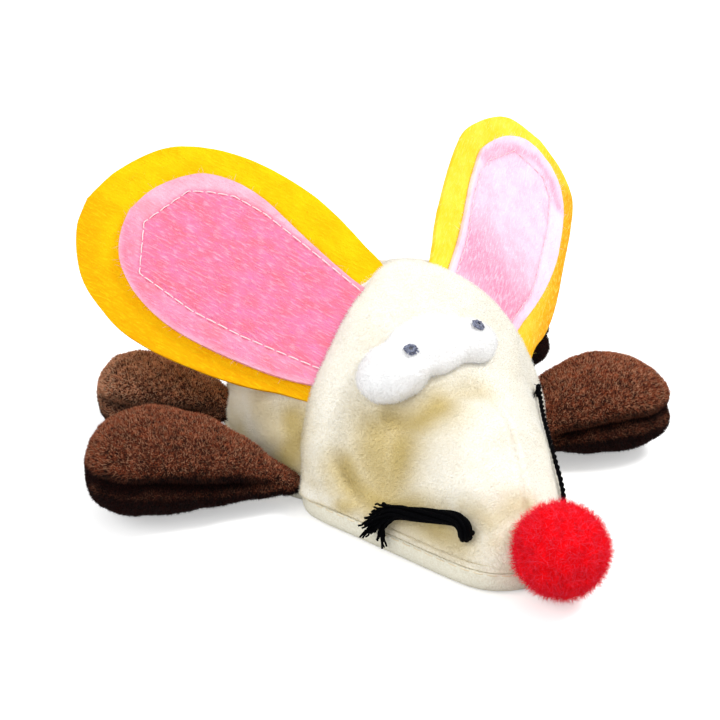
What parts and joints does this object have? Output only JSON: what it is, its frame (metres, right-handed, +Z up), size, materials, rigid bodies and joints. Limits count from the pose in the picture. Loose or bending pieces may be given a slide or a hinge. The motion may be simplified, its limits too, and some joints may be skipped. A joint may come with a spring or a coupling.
{
  "type": "vibrating mouse cat toy",
  "caption": "Stuffed toy mouse with felt ears, a pom-pom nose, yarn whiskers and soft paws, and a battery capsule in its belly whose motor spins an off-centre weight.",
  "frame": {"origin": "on the belly panel's flat underside, on the centre plane, under the foot of the neck seam", "axes": "+Z up, -Y towards the nose, +X towards the toy's own left"},
  "size_m": [0.1379, 0.1219, 0.0639],
  "materials": {
    "velboa": "short soft pile, matt",
    "belly_velboa": "short soft pile, matt",
    "fibre": "loose white fibre",
    "yellow_felt": "needled felt, matt",
    "pink_felt": "needled felt, matt",
    "fleece": "brushed fleece, matt",
    "embroidery": "twisted thread",
    "red_pompom": "cut fibre ends, matt",
    "black_yarn": "loosely twisted yarn",
    "brown_velour": "crushed pile, soft sheen",
    "case_plastic": "moulded, fine texture",
    "steel": "plated",
    "brass": "turned",
    "cell_steel": "bright plated",
    "black_plastic": "moulded",
    "red_lead": "smooth insulation",
    "black_lead": "smooth insulation"
  },
  "bodies": {
    "root": {"head_skin": "velboa", "body_skin": "velboa", "belly_panel": "belly_velboa", "head_stuffing": "fibre", "body_stuffing": "fibre", "eye_patch": "fleece", "pupil_right": "embroidery", "pupil_left": "embroidery", "nose_pompom": "red_pompom", "whisker_right": "black_yarn", "whisker_left": "black_yarn", "case_lower": "case_plastic", "case_upper": "case_plastic", "case_screw_1": "steel", "case_screw_2": "steel", "case_screw_3": "steel", "case_screw_4": "steel", "motor_can": "steel", "contact_spring": "steel", "contact_plate_front": "brass", "contact_plate_rear": "brass", "battery_cell_1": "cell_steel", "battery_cell_2": "cell_steel", "battery_cell_3": "cell_steel", "motor_end_cap": "black_plastic", "switch_body": "black_plastic", "lead_red": "red_lead", "lead_black": "black_lead", "lead_switch": "black_lead"},
    "ear_left": {"ear_back_left": "yellow_felt", "ear_inner_left": "pink_felt"},
    "ear_right": {"ear_back_right": "yellow_felt", "ear_inner_right": "pink_felt"},
    "paw_fore_left": {"paw_fore_left": "brown_velour"},
    "paw_fore_right": {"paw_fore_right": "brown_velour"},
    "paw_rear_left": {"paw_rear_left": "brown_velour"},
    "paw_rear_right": {"paw_rear_right": "brown_velour"},
    "eccentric": {"motor_shaft": "steel", "eccentric_weight": "brass"},
    "switch_slider": {"switch_slider": "black_plastic"},
    "battery_door": {"battery_door": "case_plastic", "battery_door_screw": "steel"}
  },
  "joints": [
    {"name": "ear_left_flex", "type": "hinge", "parent": "root", "child": "ear_left", "pos_m": [0.01677, 0.0132, 0.0344], "axis": [0.6635, -0.2596, -0.7017], "range_deg": [-6, 15], "stiffness_Nm_per_rad": 0.08},
    {"name": "ear_right_flex", "type": "hinge", "parent": "root", "child": "ear_right", "pos_m": [-0.01677, 0.0132, 0.0344], "axis": [0.6635, 0.2596, 0.7017], "range_deg": [-6, 15], "stiffness_Nm_per_rad": 0.08},
    {"name": "paw_fore_left_lift", "type": "hinge", "parent": "root", "child": "paw_fore_left", "pos_m": [0.03131, 0.001, 0.0052], "axis": [0.0698, -0.9976, 0], "range_deg": [-1, 15]},
    {"name": "paw_fore_right_lift", "type": "hinge", "parent": "root", "child": "paw_fore_right", "pos_m": [-0.03131, 0.001, 0.0052], "axis": [0.5, 0.866, 0], "range_deg": [-1, 15]},
    {"name": "paw_rear_left_lift", "type": "hinge", "parent": "root", "child": "paw_rear_left", "pos_m": [0.03302, 0.038, 0.0052], "axis": [0.2419, -0.9703, 0], "range_deg": [-1, 15]},
    {"name": "paw_rear_right_lift", "type": "hinge", "parent": "root", "child": "paw_rear_right", "pos_m": [-0.03302, 0.038, 0.0052], "axis": [0.515, 0.8572, 0], "range_deg": [-1, 15]},
    {"name": "eccentric_spin", "type": "hinge", "parent": "root", "child": "eccentric", "pos_m": [-0.007, 0.0175, 0.0095], "axis": [0, 1, 0], "continuous": true},
    {"name": "switch_slide", "type": "slide", "parent": "root", "child": "switch_slider", "axis": [1, 0, 0], "range_m": [0, 0.003]},
    {"name": "battery_door_lift", "type": "slide", "parent": "root", "child": "battery_door", "axis": [0, 0, -1], "range_m": [0, 0.03]}
  ]
}
